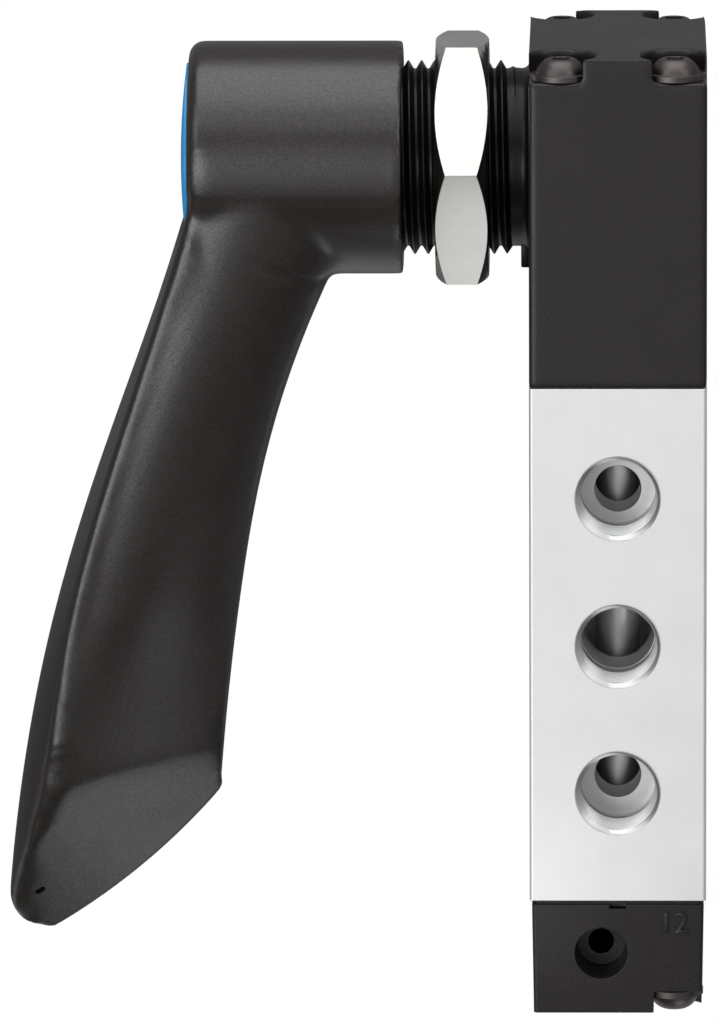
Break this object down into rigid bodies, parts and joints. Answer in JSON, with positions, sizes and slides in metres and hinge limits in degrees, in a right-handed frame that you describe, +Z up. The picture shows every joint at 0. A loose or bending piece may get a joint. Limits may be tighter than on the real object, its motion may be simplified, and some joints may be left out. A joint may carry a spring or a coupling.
{
  "type": "hand lever air valve",
  "caption": "Panel-mounted hand lever air valve: a swinging lever on a threaded neck shifts the spool of a slim ported block.",
  "frame": {"origin": "on the axis of the threaded neck, at the housing face that seats behind the panel", "axes": "+X into the valve block (the lever is at -X), +Y away from the three-port face, +Z up; the lever hangs down at rest"},
  "size_m": [0.08, 0.0361, 0.1098],
  "materials": {
    "black_moulding": "fine spark-eroded texture",
    "lever_plastic": "fine grained texture",
    "blue_plastic": "smooth, slightly domed",
    "machined_aluminium": "light satin anodised",
    "plated_steel": "bright nickel plated",
    "blackened_steel": "blackened",
    "polished_steel": "ground and polished",
    "spring_steel": "plain",
    "bearing_bronze": "sintered",
    "white_plastic": "turned",
    "seal_rubber": "matt"
  },
  "bodies": {
    "valve_block": {"upper_housing": "black_moulding", "housing_gasket": "seal_rubber", "valve_body": "machined_aluminium", "bottom_gasket": "seal_rubber", "bottom_cap": "black_moulding", "housing_screws": "blackened_steel", "cap_screws": "blackened_steel", "shaft_bush": "bearing_bronze", "bush_circlip": "spring_steel"},
    "lever": {"lever_handle": "lever_plastic", "lever_cap": "blue_plastic", "lever_screw": "blackened_steel", "lever_washer": "spring_steel", "drive_shaft": "polished_steel", "crank_pin": "polished_steel", "shaft_seal": "seal_rubber", "thrust_washer": "white_plastic"},
    "slider": {"spool_yoke": "white_plastic", "spool": "polished_steel", "spool_seals": "seal_rubber", "yoke_pin": "polished_steel", "detent_balls": "polished_steel", "detent_spring": "spring_steel"},
    "nut": {"panel_nut": "plated_steel"}
  },
  "joints": [
    {"name": "lever_swing", "type": "hinge", "parent": "valve_block", "child": "lever", "pos_m": [0, 0, 0], "axis": [1, 0, 0], "range_deg": [-40, 40]},
    {"name": "spool_travel", "type": "slide", "parent": "valve_block", "child": "slider", "axis": [0, 0, 1], "range_m": [-0.0029, 0.0029]},
    {"name": "nut_travel", "type": "slide", "parent": "valve_block", "child": "nut", "axis": [1, 0, 0], "range_m": [-0.0036, 0.0035]}
  ],
  "couplings": [
    {"joint": "spool_travel", "follows": "lever_swing", "m_per_rad": 0.0041433}
  ]
}
